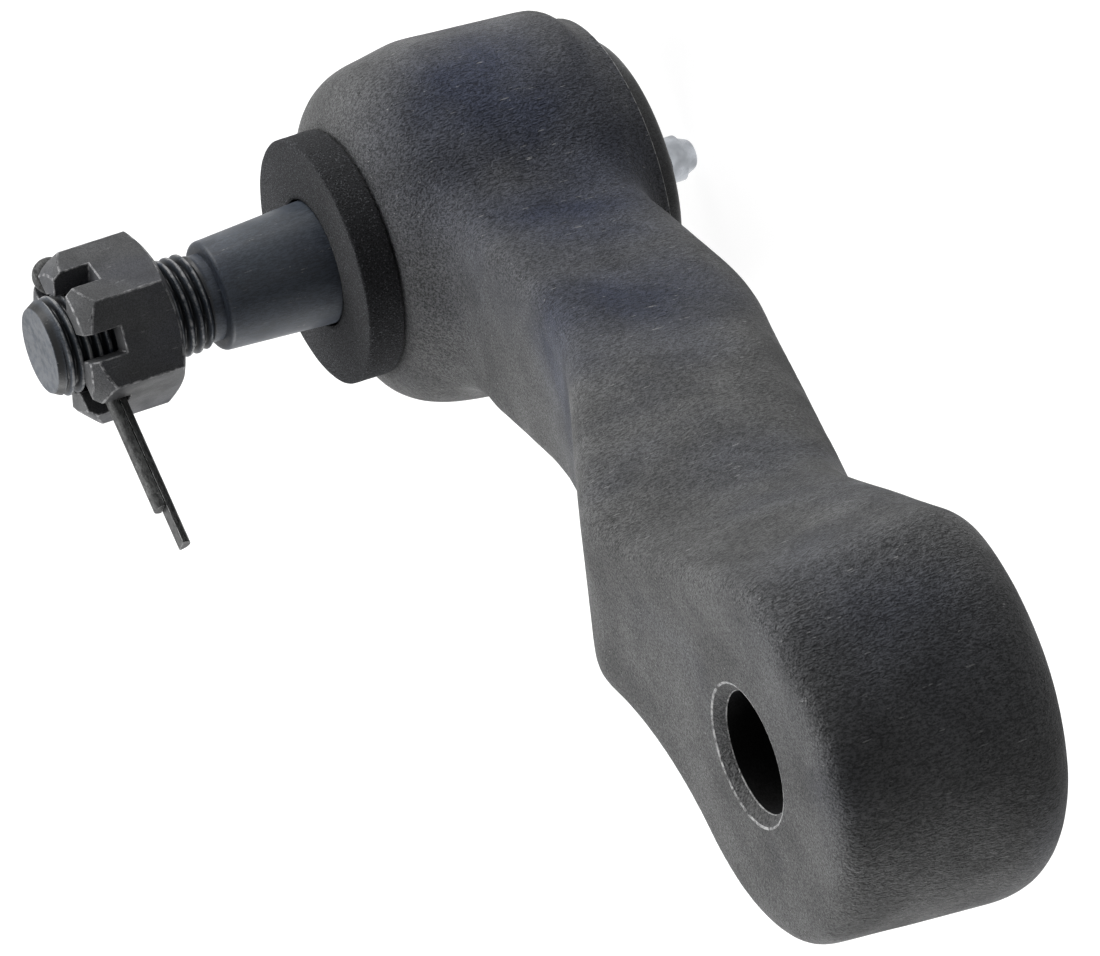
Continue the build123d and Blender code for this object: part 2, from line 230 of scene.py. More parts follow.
def applied(obj):
    """The object's mesh with its modifiers applied; the object itself is removed."""
    graph = bpy.context.evaluated_depsgraph_get()
    mesh = bpy.data.meshes.new_from_object(obj.evaluated_get(graph), depsgraph=graph)
    bpy.data.objects.remove(obj, do_unlink=True)
    return mesh


def temporary(mesh):
    """An object that holds the mesh while modifiers work on it."""
    obj = bpy.data.objects.new("working_copy", mesh)
    bpy.context.scene.collection.objects.link(obj)
    return obj


def cut(obj, tools, operation="DIFFERENCE"):
    """Applies boolean cuts and removes the cutting bodies."""
    for tool in tools:
        mod = obj.modifiers.new("cut", "BOOLEAN")
        mod.operation = operation
        mod.solver = "EXACT"
        mod.object = tool
    mesh = applied(obj)
    for tool in tools:
        bpy.data.objects.remove(tool, do_unlink=True)
    return mesh


def rod(radius, length, sides, placement):
    """A temporary round bar for cutting, centred on the placement and along its Z."""
    bm = bmesh.new()
    bmesh.ops.create_cone(
        bm, cap_ends=True, segments=sides, radius1=radius, radius2=radius, depth=length,
    )
    bm.transform(placement)
    return temporary(mesh_of(bm, "cutting_rod"))


def upright_rod(x, radius, low, high, sides=192):
    return rod(radius, high - low, sides, Matrix.Translation((x, 0, (low + high) / 2)))


def vertex_rows(mesh, what):
    """Each vertex's "co" or "normal", as rows of x, y and z."""
    values = np.empty(len(mesh.vertices) * 3)
    mesh.vertices.foreach_get(what, values)
    return values.reshape(-1, 3)


def move_points(mesh, points):
    mesh.vertices.foreach_set("co", points.ravel())
    mesh.update()


def mark_points(mesh, name, values):
    """Writes one number for each vertex, which the materials read by its name."""
    layer = mesh.attributes.get(name) or mesh.attributes.new(name, "FLOAT", "POINT")
    layer.data.foreach_set("value", np.asarray(values, dtype=np.float32))


def smooth_below(bm, degrees):
    limit = math.radians(degrees)
    for face in bm.faces:
        face.smooth = True
    for edge in bm.edges:
        if len(edge.link_faces) == 2:
            edge.smooth = edge.calc_face_angle(0) < limit


def broken_edges(bm, width, degrees, kept=None):
    """Joins flat facets, then rounds the sharp edges and marks the rounds, which the materials
    paint lighter, partly as metal showing through and partly as painted edge highlights.
    Edges for which kept is true stay as they are."""
    bmesh.ops.dissolve_limit(
        bm, angle_limit=math.radians(0.6), verts=bm.verts, edges=bm.edges,
    )
    limit = math.radians(degrees)
    sharp = [
        edge for edge in bm.edges
        if len(edge.link_faces) == 2 and edge.calc_face_angle(0) > limit
        and not (kept and kept(edge))
    ]
    # The layer comes before the bevel, because a new layer makes face references stale.
    layer = bm.faces.layers.float.new("wear_and_highlight")
    made = bmesh.ops.bevel(
        bm, geom=sharp, offset=width, offset_type="OFFSET", segments=2, profile=0.5,
        affect="EDGES", clamp_overlap=False,
    )
    rounded = set(made["faces"])
    for face in bm.faces:
        face[layer] = 1.0 if face in rounded else 0.0
        face.smooth = True
    for edge in bm.edges:
        edge.smooth = not (kept and kept(edge))


def weighted(piece):
    """Keeps large faces flat to the eye beside their rounded edges."""
    mod = piece.modifiers.new("flat_faces", "WEIGHTED_NORMAL")
    mod.keep_sharp = True
    mod.weight = 80


def ring(bm, radius, height, sides):
    """A closed row of points about the stud's line."""
    return [
        bm.verts.new((
            JOINT_X + radius * math.cos(2 * math.pi * k / sides),
            radius * math.sin(2 * math.pi * k / sides),
            height,
        ))
        for k in range(sides)
    ]


def join_rows(bm, rows, sides):
    """Joins each row to the next; a row of one point closes to a pole."""
    for low, high in zip(rows, rows[1:]):
        for k in range(sides):
            n = (k + 1) % sides
            if len(low) == 1:
                bm.faces.new((low[0], high[n], high[k]))
            elif len(high) == 1:
                bm.faces.new((low[k], low[n], high[0]))
            else:
                bm.faces.new((low[k], low[n], high[n], high[k]))


def smoothed(points, edges, weights, passes):
    """Moves each point towards the mean of its neighbours, by its own weight."""
    count = len(points)
    degree = np.bincount(edges.ravel(), minlength=count).astype(float)
    degree[degree == 0] = 1
    one, other = edges[:, 0], edges[:, 1]
    for _ in range(passes):
        mean = np.empty_like(points)
        for axis in range(3):
            total = np.bincount(one, weights=points[other, axis], minlength=count)
            total += np.bincount(other, weights=points[one, axis], minlength=count)
            mean[:, axis] = total / degree
        points = points + (mean - points) * weights[:, None]
    return points


def faded(value, low, high):
    """Rises smoothly from 0 at low to 1 at high."""
    t = np.clip((value - low) / (high - low), 0, 1)
    return t * t * (3 - 2 * t)


# Shader helpers

def link(tree, start, end):
    tree.links.new(start, end)


def feed(tree, socket, value):
    """Links another node's output to a socket, or sets the socket to a plain value."""
    if isinstance(value, bpy.types.NodeSocket):
        link(tree, value, socket)
    else:
        socket.default_value = value


def math_node(tree, operation, *values, clamp=False):
    node = tree.nodes.new("ShaderNodeMath")
    node.operation = operation
    node.use_clamp = clamp
    for socket, value in zip(node.inputs, values):
        feed(tree, socket, value)
    return node.outputs[0]


def product(tree, a, b, clamp=False):
    return math_node(tree, "MULTIPLY", a, b, clamp=clamp)


def mapped_range(tree, value, low, high, to_low=0.0, to_high=1.0):
    node = tree.nodes.new("ShaderNodeMapRange")
    node.interpolation_type = "SMOOTHSTEP"
    for label, setting in (
        ("Value", value), ("From Min", low), ("From Max", high), ("To Min", to_low),
        ("To Max", to_high),
    ):
        feed(tree, node.inputs[label], setting)
    return node.outputs["Result"]


def mixed(tree, factor, a, b):
    """A colour between a and b; the mix node's colour sockets are 6 and 7, and output 2."""
    node = tree.nodes.new("ShaderNodeMix")
    node.data_type = "RGBA"
    for index, value in ((0, factor), (6, a), (7, b)):
        feed(tree, node.inputs[index], value)
    return node.outputs[2]


def scaled(tree, colour, factor):
    """The colour made lighter or darker by a factor that changes over the surface."""
    node = tree.nodes.new("ShaderNodeVectorMath")
    node.operation = "SCALE"
    link(tree, colour, node.inputs[0])
    link(tree, factor, node.inputs["Scale"])
    return node.outputs["Vector"]


def object_coords(tree):
    return tree.nodes.new("ShaderNodeTexCoord").outputs["Object"]


def mapping(tree, **values):
    """Object coordinates with a Rotation or a Scale."""
    node = tree.nodes.new("ShaderNodeMapping")
    link(tree, object_coords(tree), node.inputs["Vector"])
    for label, value in values.items():
        feed(tree, node.inputs[label], value)
    return node.outputs["Vector"]


def noise_tex(tree, vector, scale, detail, roughness, distortion=0.0):
    node = tree.nodes.new("ShaderNodeTexNoise")
    for label, value in (
        ("Vector", vector), ("Scale", scale), ("Detail", detail), ("Roughness", roughness),
        ("Distortion", distortion),
    ):
        feed(tree, node.inputs[label], value)
    return node.outputs["Fac"]


def cell_distance(tree, vector, scale):
    node = tree.nodes.new("ShaderNodeTexVoronoi")
    node.feature = "F1"
    feed(tree, node.inputs["Scale"], scale)
    link(tree, vector, node.inputs["Vector"])
    return node.outputs["Distance"]


def attribute(tree, name):
    node = tree.nodes.new("ShaderNodeAttribute")
    node.attribute_name = name
    return node.outputs["Fac"]


def rgba(colour, gain=1.0):
    return (colour[0] * gain, colour[1] * gain, colour[2] * gain, 1.0)


def material(name):
    mat = bpy.data.materials.new(name)
    mat.use_nodes = True
    return mat, mat.node_tree, mat.node_tree.nodes["Principled BSDF"]


def bump(tree, shader, height, distance):
    node = tree.nodes.new("ShaderNodeBump")
    node.inputs["Strength"].default_value = 1.0
    node.inputs["Distance"].default_value = distance
    link(tree, height, node.inputs["Height"])
    link(tree, node.outputs["Normal"], shader.inputs["Normal"])


# Shader node groups

def group(name, inputs, outputs):
    tree = bpy.data.node_groups.new(name, "ShaderNodeTree")
    for label, kind, default in inputs:
        socket = tree.interface.new_socket(label, in_out="INPUT", socket_type=kind)
        socket.default_value = default
    for label in outputs:
        tree.interface.new_socket(label, in_out="OUTPUT", socket_type="NodeSocketFloat")
    return tree, tree.nodes.new("NodeGroupInput"), tree.nodes.new("NodeGroupOutput")


def placed(tree, name, maker, **values):
    """Puts a node group in a material, and makes the group when it is first used."""
    node = tree.nodes.new("ShaderNodeGroup")
    node.node_tree = bpy.data.node_groups.get(name) or maker()
    for label, value in values.items():
        node.inputs[label.replace("_", " ")].default_value = value
    return node


def grain_group():
    """Blasted skin: fine grain and short marks drawn one way, pits and light scratches."""
    tree, given, made = group(
        "Blasted Skin",
        (("Grain Size", "NodeSocketFloat", 0.25), ("Lay", "NodeSocketVector", (1, 1, 1)),
         ("Pits", "NodeSocketFloat", 0.3)),
        ("Height", "Speckle", "Pit Mask", "Scratches"),
    )
    coords = object_coords(tree)
    turned = mapping(tree, Scale=given.outputs["Lay"])
    per_metre = math_node(tree, "DIVIDE", 1000.0, given.outputs["Grain Size"])
    fine = noise_tex(tree, coords, per_metre, 2.0, 0.6)
    drawn = noise_tex(tree, turned, per_metre, 3.0, 0.55, 0.4)
    middle = noise_tex(tree, turned, product(tree, per_metre, 0.5), 2.0, 0.6)
    broad = noise_tex(tree, coords, product(tree, per_metre, 0.22), 3.0, 0.6)
    grain = math_node(tree, "ADD", product(tree, fine, 0.30), product(tree, drawn, 0.45))
    grain = math_node(tree, "MULTIPLY_ADD", middle, 0.25, grain)

    pit = cell_distance(tree, coords, product(tree, per_metre, 0.34))
    pit = mapped_range(tree, pit, 0.10, 0.24, 1.0, 0.0)
    pit = product(tree, pit, mapped_range(tree, broad, 0.52, 0.66))
    pit = product(tree, pit, given.outputs["Pits"])

    drawn_out = mapping(tree, Rotation=(0.25, 0.1, 0.3), Scale=(1.0, 1.0, 0.05))
    lines = noise_tex(tree, drawn_out, product(tree, per_metre, 0.8), 1.0, 0.5)
    lines = product(tree, mapped_range(tree, lines, 0.66, 0.76),
                    mapped_range(tree, broad, 0.5, 0.6))

    height = math_node(tree, "ADD", grain, product(tree, broad, 0.6))
    height = math_node(tree, "SUBTRACT", height, pit)
    link(tree, height, made.inputs["Height"])
    link(tree, mapped_range(tree, grain, 0.40, 0.60), made.inputs["Speckle"])
    link(tree, pit, made.inputs["Pit Mask"])
    link(tree, lines, made.inputs["Scratches"])
    return tree


def patch_group():
    """Soft uneven patches, used for temper tint, stains, oil sheen and the painted reflections
    on the grease fitting.
    """
    tree, given, made = group(
        "Soft Patches",
        (("Patch Size", "NodeSocketFloat", 20.0), ("Coverage", "NodeSocketFloat", 0.5),
         ("Softness", "NodeSocketFloat", 0.16)),
        ("Mask", "Slow Noise"),
    )
    per_metre = math_node(tree, "DIVIDE", 1000.0, given.outputs["Patch Size"])
    slow = noise_tex(tree, object_coords(tree), per_metre, 3.0, 0.5, 0.3)
    edge = math_node(tree, "SUBTRACT", 1.0, given.outputs["Coverage"])
    low = math_node(tree, "SUBTRACT", edge, given.outputs["Softness"])
    high = math_node(tree, "ADD", edge, given.outputs["Softness"])
    link(tree, mapped_range(tree, slow, low, high), made.inputs["Mask"])
    link(tree, slow, made.inputs["Slow Noise"])
    return tree


def wear_highlight_shade_group():
    """Edges and thread roots: the marked edge faces, broken up by noise, which are painted
    lighter partly as metal showing through and partly as painted edge highlights, and the
    thread roots, which are darkened as painted shade.
    """
    tree, given, made = group(
        "Worn Edges, Edge Highlights and Root Shade",
        (("Break Size", "NodeSocketFloat", 1.2), ("Amount", "NodeSocketFloat", 0.7)),
        ("Mask", "Root Shade"),
    )
    per_metre = math_node(tree, "DIVIDE", 1000.0, given.outputs["Break Size"])
    broken = noise_tex(tree, object_coords(tree), per_metre, 4.0, 0.65)
    spared = math_node(tree, "SUBTRACT", 1.0, given.outputs["Amount"])
    shown = math_node(tree, "SUBTRACT", broken, product(tree, spared, 0.7))
    shown = mapped_range(tree, shown, 0.0, 0.25)
    link(tree, product(tree, shown, attribute(tree, "wear_and_highlight"), clamp=True), made.inputs["Mask"])
    link(tree, attribute(tree, "root_shade"), made.inputs["Root Shade"])
    return tree


# Finishes

def blasted_steel(name, base, tint, grain=0.2, lay=(1, 1, 1), pits=0.3, depth=0.03,
                  rough=(0.34, 0.48), patch=22.0, coverage=0.45, speckle=0.4, wear_and_highlight=0.5,
                  worn_and_lit=(0.30, 0.30, 0.30), metallic=0.0, specular=0.18):
    """Dark steel with a blasted or scaled skin, tint patches, edges painted lighter (partly
    metal showing through, partly painted highlights) and thread roots darkened as painted
    shade.
    Grain and patch are sizes in millimetres, and depth is that of the skin's relief."""
    mat, tree, shader = material(name)
    skin = placed(tree, "Blasted Skin", grain_group, Grain_Size=grain, Lay=lay, Pits=pits)
    patches = placed(tree, "Soft Patches", patch_group, Patch_Size=patch, Coverage=coverage)
    stains = placed(tree, "Soft Patches", patch_group, Patch_Size=patch * 0.37,
                    Coverage=0.5, Softness=0.25)
    wear_highlight_and_shade = placed(tree, "Worn Edges, Edge Highlights and Root Shade", wear_highlight_shade_group, Amount=wear_and_highlight)

    heated = math_node(tree, "MULTIPLY_ADD", patches.outputs["Slow Noise"], 3.0, -0.35)
    heated = product(tree, heated, attribute(tree, "temper"), clamp=True)
    tinted = math_node(tree, "MULTIPLY_ADD", patches.outputs["Mask"], 0.4, heated, clamp=True)
    colour = mixed(tree, tinted, rgba(base), rgba(tint))

    stained = 0.35
    tone = math_node(tree, "MULTIPLY_ADD", skin.outputs["Speckle"], 2 * speckle, 1 - speckle)
    dull = math_node(tree, "MULTIPLY_ADD", stains.outputs["Mask"], -stained,
                     1 + 0.4 * stained)
    tone = product(tree, tone, dull)
    # Painted shade: the thread roots are darkened almost to black.
    root_shaded = math_node(tree, "MULTIPLY_ADD", wear_highlight_and_shade.outputs["Root Shade"], -0.92, 1.0, clamp=True)
    pitted = math_node(tree, "MULTIPLY_ADD", skin.outputs["Pit Mask"], -0.8, 1.0, clamp=True)
    tone = product(tree, tone, product(tree, root_shaded, pitted))
    colour = scaled(tree, colour, tone)

    # The marked edges and the light scratches take the lighter edge colour; on the edges it is
    # partly a painted highlight.
    bare_and_lit = math_node(tree, "MAXIMUM", wear_highlight_and_shade.outputs["Mask"],
                     product(tree, skin.outputs["Scratches"], 0.45))
    link(tree, mixed(tree, bare_and_lit, colour, rgba(worn_and_lit)), shader.inputs["Base Color"])
    roughness = mapped_range(tree, stains.outputs["Slow Noise"], 0.3, 0.7, *rough)
    roughness = math_node(tree, "ADD", roughness,
                          product(tree, skin.outputs["Speckle"], 0.08))
    link(tree, roughness, shader.inputs["Roughness"])
    shader.inputs["Metallic"].default_value = metallic
    shader.inputs["Specular IOR Level"].default_value = specular
    bump(tree, shader, skin.outputs["Height"], depth * MM)
    return mat


def forging_finish(given):
    return blasted_steel(
        "Forged Scale", tuple(given.steel), tuple(given.tint), grain=0.25,
        lay=(1.0, 1.0, 0.45), pits=0.6, depth=0.60, rough=(0.40, 0.56), patch=28.0,
        coverage=0.36, speckle=0.46, worn_and_lit=(0.42, 0.42, 0.42), specular=0.08,
    )


def bore_painted_shade():
    """The machined wall of the bracket bore, coloured almost black as painted shade for the
    dark of the hole.
    """
    return blasted_steel(
        "Bored Wall In Painted Shade", (0.012, 0.012, 0.012), (0.009, 0.009, 0.011), grain=0.3,
        lay=(1.0, 1.0, 3.0), pits=0.2, depth=0.02, rough=(0.75, 0.9), patch=9.0,
        coverage=0.4, speckle=0.3, wear_and_highlight=0.0, worn_and_lit=(0.02, 0.02, 0.02), specular=0.02,
    )


def stud_finish(given):
    return blasted_steel(
        "Stud Steel", tuple(given.steel), (0.034, 0.040, 0.056), lay=(1.0, 1.0, 0.25),
        pits=0.4, depth=0.02, rough=(0.34, 0.46), patch=14.0, coverage=0.5, speckle=0.34,
        specular=0.24,
    )


def nut_finish(given):
    return blasted_steel(
        "Blackened Nut", tuple(given.nut_steel), (0.042, 0.045, 0.060), grain=0.16,
        lay=(0.6, 1.0, 1.0), pits=0.5, rough=(0.36, 0.5), patch=9.0, speckle=0.3,
        wear_and_highlight=0.42, worn_and_lit=(0.26, 0.26, 0.265), specular=0.15,
    )


def pin_finish():
    return blasted_steel(
        "Pin Wire", (0.048, 0.049, 0.048), (0.026, 0.026, 0.028), grain=0.22,
        lay=(0.3, 0.3, 1.0), pits=0.7, depth=0.02, rough=(0.3, 0.45), patch=4.0,
        coverage=0.5, speckle=0.6, worn_and_lit=(0.34, 0.34, 0.34), specular=0.13,
    )


def cover_finish():
    return blasted_steel(
        "Cover Steel", (0.058, 0.059, 0.060), (0.042, 0.043, 0.050), depth=0.015,
        patch=12.0, speckle=0.3, worn_and_lit=(0.36, 0.36, 0.36), specular=0.13,
    )


def bearing_finish():
    return blasted_steel(
        "Bearing Metal", (0.16, 0.155, 0.145), (0.12, 0.115, 0.11), pits=0.5, depth=0.01,
        rough=(0.3, 0.45), patch=8.0, coverage=0.4, wear_and_highlight=0.0,
    )


def spring_finish():
    return blasted_steel(
        "Spring Wire", (0.10, 0.10, 0.105), (0.07, 0.07, 0.085), grain=0.12, depth=0.006,
        rough=(0.25, 0.4), patch=4.0, coverage=0.4, wear_and_highlight=0.0, metallic=0.8,
    )


def foam_finish(given):
    """Open-cell foam: cells darkened as painted shade in the pores, lighter walls between them
    and a few pale specks painted in as glints.
    """
    mat, tree, shader = material("Seal Foam")
    coords = object_coords(tree)
    base = tuple(given.foam)
    open_cell = mapped_range(tree, cell_distance(tree, coords, 3200.0), 0.15, 0.55)
    fine = noise_tex(tree, coords, 4200.0, 3.0, 0.65)
    slow = noise_tex(tree, coords, 160.0, 3.0, 0.5)
    glint = mapped_range(tree, fine, 0.55, 0.66)
    # Painted shade: the pores are darker than the walls between them.
    colour = mixed(tree, open_cell, rgba(base, 0.40), rgba(base, 1.35))
    colour = mixed(tree, product(tree, slow, 0.3), colour, rgba(base, 1.5))
    # Painted glints: a few pale specks.
    colour = mixed(tree, product(tree, glint, 0.8), colour, rgba(base, 6.0))
    link(tree, colour, shader.inputs["Base Color"])
    shader.inputs["Roughness"].default_value = 0.95
    shader.inputs["Specular IOR Level"].default_value = 0.05
    shader.inputs["Sheen Weight"].default_value = 0.05
    shader.inputs["Sheen Roughness"].default_value = 0.6
    height = math_node(tree, "ADD", product(tree, open_cell, 0.7), product(tree, fine, 0.8))
    bump(tree, shader, height, 0.09 * MM)
    return mat


def zinc_finish(given):
    """Bright zinc plate with lighter and darker patches painted in as reflections."""
    mat, tree, shader = material("Bright Zinc")
    base = tuple(given.zinc)
    skin = placed(tree, "Blasted Skin", grain_group, Grain_Size=0.14, Lay=(1, 1, 3), Pits=0.3)
    patches = placed(tree, "Soft Patches", patch_group, Patch_Size=2.8, Coverage=0.5,
                     Softness=0.2)
    # Painted reflections: patches lighter and darker than the plate.
    colour = mixed(tree, patches.outputs["Mask"], rgba(base, 1.2), rgba(base, 0.72))
    colour = mixed(tree, product(tree, skin.outputs["Pit Mask"], 0.8), colour,
                   rgba(base, 0.35))
    link(tree, colour, shader.inputs["Base Color"])
    shader.inputs["Metallic"].default_value = 1.0
    rough = mapped_range(tree, patches.outputs["Slow Noise"], 0.3, 0.7, 0.22, 0.38)
    link(tree, rough, shader.inputs["Roughness"])
    bump(tree, shader, skin.outputs["Height"], 0.006 * MM)
    return mat


# Forged arm

def settings(context):
    return context.scene.idler_arm


def remeshed(mesh, voxel):
    work = temporary(mesh)
    mod = work.modifiers.new("skin", "REMESH")
    mod.mode = "VOXEL"
    mod.voxel_size = voxel
    return applied(work)


def hammered(mesh, given):
    """Softens the forging's free surfaces and its blend into the housing, then adds the
    hammered waves. The zones are measured in millimetres."""
    housing_wall, stud_line, pull = 25.5, JOINT_X / MM, 0.5
    points = vertex_rows(mesh, "co")
    edges = np.empty(len(mesh.edges) * 2, dtype=np.int64)
    mesh.edges.foreach_get("vertices", edges)
    edges = edges.reshape(-1, 2)

    from_stud = np.hypot(points[:, 0] - JOINT_X, points[:, 1]) / MM
    from_bore = np.hypot(points[:, 0], points[:, 1]) / MM
    height = points[:, 2] / MM
    web_side = 1 - faded(points[:, 0] / MM, stud_line - 12, stud_line - 2)
    near_wall = 1 - faded(np.abs(from_stud - housing_wall), 3.0, 9.0)
    blend = near_wall * web_side * faded(from_stud, 19, 23)
    above_rim = faded(height, RIM_CUT / MM + 0.2, RIM_CUT / MM + 1.8)
    off_rim = 1 - (1 - above_rim) * (from_stud < 28)
    free = faded(from_bore, 12.0, 14.0) * faded(from_stud, 18.0, 20.0) * off_rim
    points = smoothed(points, edges, pull * blend * off_rim, given.blend_passes)
    points = smoothed(points, edges, pull * free, given.skin_passes)
    move_points(mesh, points)

    normals = vertex_rows(mesh, "normal")
    wide_waves, fine_waves, apart = 85.0, 330.0, Vector((7.0, 3.0, 1.0))
    wave = np.empty(len(points))
    for i, p in enumerate(points):
        wide = noise.noise(Vector(p) * wide_waves)
        fine = noise.noise(Vector(p) * fine_waves + apart)
        wave[i] = 0.75 * wide + 0.25 * fine
    level_share = 1 - 0.7 * (np.abs(normals[:, 2]) > 0.985)
    push = (wave - 0.35) * given.waviness * free * level_share
    move_points(mesh, points + normals * push[:, None])
    return mesh


def on_cut(edge):
    """True for an edge on a seam between the smoothed skin and the crisp CAD surface."""
    return all(
        abs(v.co.z - RIM_CUT) < 1e-6
        or abs(math.hypot(v.co.x - JOINT_X, v.co.y) - HOUSING_CUT) < 1e-5
        or abs(math.hypot(v.co.x, v.co.y) - BORE_CUT) < 1e-5
        for v in edge.verts
    )


def temper_marks(mesh):
    """Marks where heat has left the forging blue: place and reach in mm, and strength."""
    points = vertex_rows(mesh, "co")
    heat = np.zeros(len(points))
    for place, reach, strength in (
        ((133, -18, -2), 18, 1.0), ((141, -23, 0), 13, 0.8), ((112, -13, 2), 12, 0.5),
        ((95, -12, 2), 13, 0.52), ((-13, -22, 22), 13, 0.45), ((-20, -15, 14), 11, 0.3),
    ):
        away = np.linalg.norm(points / MM - np.array(place), axis=1)
        heat = np.maximum(heat, strength * np.exp(-(away / reach) ** 2))
    mark_points(mesh, "temper", heat)


class FORGE_OT_arm(bpy.types.Operator):
    """Build the forged skin of the arm with its hammered waves and soft blends"""
    bl_idname = "idler_arm.forged_arm"
    bl_label = "Forged Arm"

    def execute(self, context):
        given = settings(context).forging
        low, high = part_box("arm_forging")
        top, bottom = high.z + 5 * MM, low.z - 5 * MM
        past_rim = 40 * MM

        skin = mesh_of(node_mesh("arm_forging"), "forged_skin")
        crisp = skin.copy()
        skin = hammered(remeshed(skin, given.voxel), given)
        rim_tool = upright_rod(JOINT_X, past_rim, bottom, RIM_CUT, 128)
        skin = cut(temporary(skin), [
            upright_rod(JOINT_X, HOUSING_CUT, bottom, top),
            upright_rod(0, BORE_CUT, bottom, top),
            rim_tool,
        ])
        parts = [
            cut(temporary(crisp.copy()), [tool], "INTERSECT")
            for tool in (
                upright_rod(JOINT_X, HOUSING_CUT, RIM_CUT, top),
                upright_rod(0, BORE_CUT, bottom, top),
                upright_rod(JOINT_X, past_rim, bottom, RIM_CUT),
            )
        ]

        bm = bmesh_of(skin)
        bm.faces.layers.float.new("wear_and_highlight")
        smooth_below(bm, 40)
        for part in parts:
            crisp_bm = bmesh_of(part)
            broken_edges(crisp_bm, given.edge, 30, on_cut)
            bm.from_mesh(mesh_of(crisp_bm, "crisp_part"))
        arm = new_piece(
            "forged_arm", bm, forging_finish(given), "arm", ["arm_forging"],
        )
        weighted(arm)
        temper_marks(arm.data)

        # The wall inside the bracket bore takes the almost black material: painted shade for
        # the dark of the hole.
        past_wall = 8.3 * MM
        arm.data.materials.append(bore_painted_shade())
        for face in arm.data.polygons:
            inside = math.hypot(face.center.x, face.center.y) < past_wall
            if inside and abs(face.normal.z) < 0.3:
                face.material_index = 1
        return {"FINISHED"}


# Ball stud, nut and pin

def thread_radius(z, turn, start, tip, given):
    """The threaded end's radius at a height and at a share of a turn."""
    root = THREAD_CREST - given.depth
    undercut = 6.2 * MM
    tip_length, tip_drop = 1.7 * MM, 0.95 * MM
    phase = ((z - start) / given.pitch - turn) % 1.0
    ridge = 1 - abs(2 * phase - 1)
    ridge = min(1.0, max(0.0, (ridge - 0.12) / 0.66))
    radius = root + (THREAD_CREST - root) * ridge
    started = min(1.0, max(0.0, (z - given.thread_start) / (0.9 * given.pitch)))
    radius = undercut + (radius - undercut) * started
    into_tip = (z - (tip - tip_length)) / tip_length
    if into_tip > 0:
        filled = radius + (THREAD_CREST - radius) * min(1, into_tip * 1.5)
        radius = min(filled, THREAD_CREST - tip_drop * into_tip)
    return radius


def threaded_end(start, tip, given):
    """The stud's end from the undercut up, with its helical thread and flat tip."""
    sides, rows_per_pitch, flat = 96, 10, 6.05 * MM
    steps = int((tip - start) / given.pitch * rows_per_pitch)
    bm = bmesh.new()
    rows = []
    for i in range(steps + 1):
        z = start + (tip - start) * i / steps
        row = []
        for k in range(sides):
            turn = k / sides
            radius = thread_radius(z, turn, start, tip, given)
            angle = 2 * math.pi * turn
            row.append(bm.verts.new((
                JOINT_X + radius * math.cos(angle), radius * math.sin(angle), z,
            )))
        rows.append(row)
    for share in (0.93, 0.7, 0.35):
        rows.append(ring(bm, flat * share, tip, sides))
    rows.append([bm.verts.new((JOINT_X, 0, tip))])
    rows.insert(0, [bm.verts.new((JOINT_X, 0, start))])
    join_rows(bm, rows, sides)
    bmesh.ops.recalc_face_normals(bm, faces=bm.faces)
    return mesh_of(bm, "stud_thread")


def cotter_hole_tool():
    """The cross hole's drill, along the pin as it stands in the nut."""
    angle = math.radians(138.9)
    along = Vector((math.cos(angle), math.sin(angle), 0))
    turn = Vector((0, 0, 1)).rotation_difference(along).to_matrix().to_4x4()
    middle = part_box("cotter_pin")[0].z + 1.5 * MM
    return rod(1.6 * MM, 30 * MM, 32, Matrix.Translation((JOINT_X, 0, middle)) @ turn)


class FORGE_OT_stud(bpy.types.Operator):
    """Build the ball stud: the turned body and the rolled thread"""
    bl_idname = "idler_arm.ball_stud"
    bl_label = "Ball Stud"

    def execute(self, context):
        given = settings(context).stud
        start = given.thread_start - 0.35 * MM
        tip = STUD_HIGH.z
        bm = node_mesh("ball_stud")
        bmesh.ops.bisect_plane(
            bm, geom=bm.verts[:] + bm.edges[:] + bm.faces[:], plane_co=(0, 0, start),
            plane_no=(0, 0, 1), clear_outer=True,
        )
        bmesh.ops.dissolve_limit(
            bm, angle_limit=math.radians(0.3), verts=bm.verts, edges=bm.edges,
        )
        smooth_below(bm, 28)
        body = mesh_of(bm, "stud_body")
        thread = threaded_end(start, tip, given)
        hole = cotter_hole_tool()
        bm = bmesh_of(body, cut(temporary(thread), [hole]))
        smooth_below(bm, 34)
        stud = new_piece(
            "ball_stud_turned", bm, stud_finish(given), "stud", ["ball_stud"],
        )

        points = vertex_rows(stud.data, "co")
        below_crest = THREAD_CREST - np.hypot(points[:, 0] - JOINT_X, points[:, 1])
        flat_end = points[:, 2] > tip - 0.05 * MM
        threaded = faded(points[:, 2], given.thread_start, given.thread_start + 0.5 * MM)
        threaded = threaded * (points[:, 2] < tip - 0.05 * MM)
        # Painted shade goes in the thread roots; the crests and a little of the flat end take
        # the lighter edge colour, partly as a painted highlight.
        root_shade_marks = threaded * faded(below_crest, 0.1 * MM, 0.6 * MM)
        crests = threaded * (below_crest < 0.05 * MM) * 0.8
        mark_points(stud.data, "root_shade", root_shade_marks)
        mark_points(stud.data, "wear_and_highlight", crests + 0.16 * flat_end)
        return {"FINISHED"}


class FORGE_OT_nut(bpy.types.Operator):
    """Build the castle nut with broken edges and a blackened finish"""
    bl_idname = "idler_arm.castle_nut"
    bl_label = "Castle Nut"

    def execute(self, context):
        given = settings(context).hardware
        bm = node_mesh("castle_nut")
        broken_edges(bm, given.edge, 24)
        nut = new_piece(
            "castle_nut_black", bm, nut_finish(given), "stud", ["castle_nut"],
        )
        weighted(nut)
        return {"FINISHED"}


